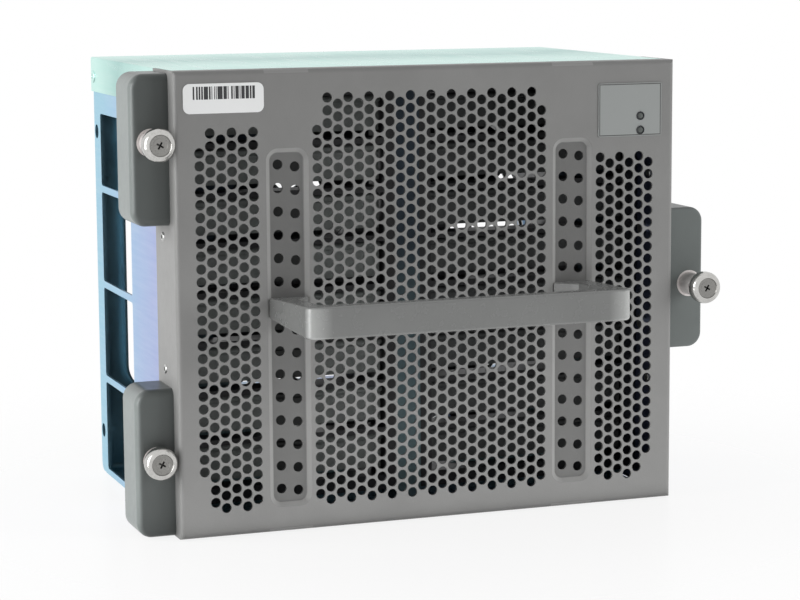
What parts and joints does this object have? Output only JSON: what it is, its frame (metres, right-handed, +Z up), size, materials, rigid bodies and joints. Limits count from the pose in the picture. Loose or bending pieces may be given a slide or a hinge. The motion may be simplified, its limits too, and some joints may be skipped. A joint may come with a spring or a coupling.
{
  "type": "fan tray module",
  "caption": "Hot-swap fan tray: perforated front panel with a grab handle and captive thumbscrews on a plated box that holds an axial fan, back-draft flaps and a rear connector.",
  "frame": {"origin": "on the underside of the base pan, midway across the front panel and midway between the handle's front and the rear wall", "axes": "+X to the right seen from the front, -Y towards the front and the handle, +Z up"},
  "size_m": [0.2452, 0.1816, 0.183],
  "materials": {
    "panel_grey": "satin powder coat",
    "handle_grey": "satin paint on die-cast metal",
    "ear_grey": "satin paint on die-cast metal",
    "zinc": "bright zinc plating with a faint blue tint",
    "plated_steel": "plated",
    "nickel": "satin nickel",
    "white_label": "matt",
    "plate_grey": "matt",
    "lens": "clear light pipe",
    "black_plastic": "moulded",
    "flap_sheet": "thin sheet",
    "fan_cast": "black painted casting",
    "magnet": "sintered",
    "winding": "enamelled copper on laminations",
    "board_green": "glass-epoxy board",
    "connector_plastic": "moulded",
    "contact_metal": "gold flash",
    "cable": "sleeved lead"
  },
  "bodies": {
    "tray": {"asset_label": "white_label", "base_pan": "zinc", "board_parts": "black_plastic", "board_standoffs": "plated_steel", "centre_post": "zinc", "connector_contacts": "contact_metal", "control_board": "board_green", "cover_screws": "plated_steel", "damper_frame_left": "black_plastic", "damper_frame_right": "black_plastic", "ear_lower_left": "ear_grey", "ear_right": "ear_grey", "ear_screws": "plated_steel", "ear_upper_left": "ear_grey", "fan_bearings": "plated_steel", "fan_bulkhead": "zinc", "fan_housing": "fan_cast", "fan_lead": "cable", "fan_screws": "plated_steel", "fan_stator": "winding", "flange_rivets": "plated_steel", "front_panel": "panel_grey", "handle": "handle_grey", "handle_screws": "plated_steel", "indicator_board": "board_green", "indicator_lead": "cable", "indicator_lenses": "lens", "left_side_wall": "zinc", "rear_connector": "connector_plastic", "right_side_wall": "zinc", "screw_sleeves": "plated_steel", "status_plate": "plate_grey", "top_cover": "zinc", "wire_guard": "plated_steel"},
    "rotor": {"fan_impeller": "black_plastic", "rotor_cup": "plated_steel", "rotor_magnet": "magnet", "rotor_shaft": "plated_steel"},
    "flap_left_1": {"flap_left_1": "flap_sheet"},
    "flap_left_2": {"flap_left_2": "flap_sheet"},
    "flap_left_3": {"flap_left_3": "flap_sheet"},
    "flap_left_4": {"flap_left_4": "flap_sheet"},
    "flap_left_5": {"flap_left_5": "flap_sheet"},
    "flap_left_6": {"flap_left_6": "flap_sheet"},
    "flap_left_7": {"flap_left_7": "flap_sheet"},
    "flap_left_8": {"flap_left_8": "flap_sheet"},
    "flap_right_1": {"flap_right_1": "flap_sheet"},
    "flap_right_2": {"flap_right_2": "flap_sheet"},
    "flap_right_3": {"flap_right_3": "flap_sheet"},
    "flap_right_4": {"flap_right_4": "flap_sheet"},
    "flap_right_5": {"flap_right_5": "flap_sheet"},
    "flap_right_6": {"flap_right_6": "flap_sheet"},
    "flap_right_7": {"flap_right_7": "flap_sheet"},
    "flap_right_8": {"flap_right_8": "flap_sheet"},
    "ring_upper_left": {"retaining_ring_upper_left": "plated_steel"},
    "screw_upper_left": {"thumbscrew_upper_left": "nickel"},
    "ring_lower_left": {"retaining_ring_lower_left": "plated_steel"},
    "screw_lower_left": {"thumbscrew_lower_left": "nickel"},
    "ring_right": {"retaining_ring_right": "plated_steel"},
    "screw_right": {"thumbscrew_right": "nickel"}
  },
  "joints": [
    {"name": "fan_spin", "type": "hinge", "parent": "tray", "child": "rotor", "pos_m": [0, 0.025, 0.0915], "axis": [0, 1, 0], "continuous": true},
    {"name": "flap_left_1_swing", "type": "hinge", "parent": "tray", "child": "flap_left_1", "pos_m": [-0.0544, -0.01235, 0.1683], "axis": [-1, 0, 0], "range_deg": [0, 75]},
    {"name": "flap_left_2_swing", "type": "hinge", "parent": "tray", "child": "flap_left_2", "pos_m": [-0.0544, -0.01235, 0.1483], "axis": [-1, 0, 0], "range_deg": [0, 75]},
    {"name": "flap_left_3_swing", "type": "hinge", "parent": "tray", "child": "flap_left_3", "pos_m": [-0.0544, -0.01235, 0.1283], "axis": [-1, 0, 0], "range_deg": [0, 75]},
    {"name": "flap_left_4_swing", "type": "hinge", "parent": "tray", "child": "flap_left_4", "pos_m": [-0.0544, -0.01235, 0.1083], "axis": [-1, 0, 0], "range_deg": [0, 75]},
    {"name": "flap_left_5_swing", "type": "hinge", "parent": "tray", "child": "flap_left_5", "pos_m": [-0.0544, -0.01235, 0.0883], "axis": [-1, 0, 0], "range_deg": [0, 75]},
    {"name": "flap_left_6_swing", "type": "hinge", "parent": "tray", "child": "flap_left_6", "pos_m": [-0.0544, -0.01235, 0.0683], "axis": [-1, 0, 0], "range_deg": [0, 75]},
    {"name": "flap_left_7_swing", "type": "hinge", "parent": "tray", "child": "flap_left_7", "pos_m": [-0.0544, -0.01235, 0.0483], "axis": [-1, 0, 0], "range_deg": [0, 75]},
    {"name": "flap_left_8_swing", "type": "hinge", "parent": "tray", "child": "flap_left_8", "pos_m": [-0.0544, -0.01235, 0.0283], "axis": [-1, 0, 0], "range_deg": [0, 75]},
    {"name": "flap_right_1_swing", "type": "hinge", "parent": "tray", "child": "flap_right_1", "pos_m": [0.0544, -0.01235, 0.1683], "axis": [-1, 0, 0], "range_deg": [0, 75]},
    {"name": "flap_right_2_swing", "type": "hinge", "parent": "tray", "child": "flap_right_2", "pos_m": [0.0544, -0.01235, 0.1483], "axis": [-1, 0, 0], "range_deg": [0, 75]},
    {"name": "flap_right_3_swing", "type": "hinge", "parent": "tray", "child": "flap_right_3", "pos_m": [0.0544, -0.01235, 0.1283], "axis": [-1, 0, 0], "range_deg": [0, 75]},
    {"name": "flap_right_4_swing", "type": "hinge", "parent": "tray", "child": "flap_right_4", "pos_m": [0.0544, -0.01235, 0.1083], "axis": [-1, 0, 0], "range_deg": [0, 75]},
    {"name": "flap_right_5_swing", "type": "hinge", "parent": "tray", "child": "flap_right_5", "pos_m": [0.0544, -0.01235, 0.0883], "axis": [-1, 0, 0], "range_deg": [0, 75]},
    {"name": "flap_right_6_swing", "type": "hinge", "parent": "tray", "child": "flap_right_6", "pos_m": [0.0544, -0.01235, 0.0683], "axis": [-1, 0, 0], "range_deg": [0, 75]},
    {"name": "flap_right_7_swing", "type": "hinge", "parent": "tray", "child": "flap_right_7", "pos_m": [0.0544, -0.01235, 0.0483], "axis": [-1, 0, 0], "range_deg": [0, 75]},
    {"name": "flap_right_8_swing", "type": "hinge", "parent": "tray", "child": "flap_right_8", "pos_m": [0.0544, -0.01235, 0.0283], "axis": [-1, 0, 0], "range_deg": [0, 75]},
    {"name": "screw_upper_left_travel", "type": "slide", "parent": "tray", "child": "ring_upper_left", "axis": [0, 1, 0], "range_m": [-0.0026, 0.0102]},
    {"name": "screw_upper_left_turn", "type": "hinge", "parent": "ring_upper_left", "child": "screw_upper_left", "pos_m": [-0.1132, -0.03925, 0.1555], "axis": [0, 1, 0], "continuous": true},
    {"name": "screw_lower_left_travel", "type": "slide", "parent": "tray", "child": "ring_lower_left", "axis": [0, 1, 0], "range_m": [-0.0088, 0.004]},
    {"name": "screw_lower_left_turn", "type": "hinge", "parent": "ring_lower_left", "child": "screw_lower_left", "pos_m": [-0.1132, -0.03925, 0.031], "axis": [0, 1, 0], "continuous": true},
    {"name": "screw_right_travel", "type": "slide", "parent": "tray", "child": "ring_right", "axis": [0, 1, 0], "range_m": [-0.0005, 0.0123]},
    {"name": "screw_right_turn", "type": "hinge", "parent": "ring_right", "child": "screw_right", "pos_m": [0.1174, -0.03925, 0.089], "axis": [0, 1, 0], "continuous": true}
  ]
}
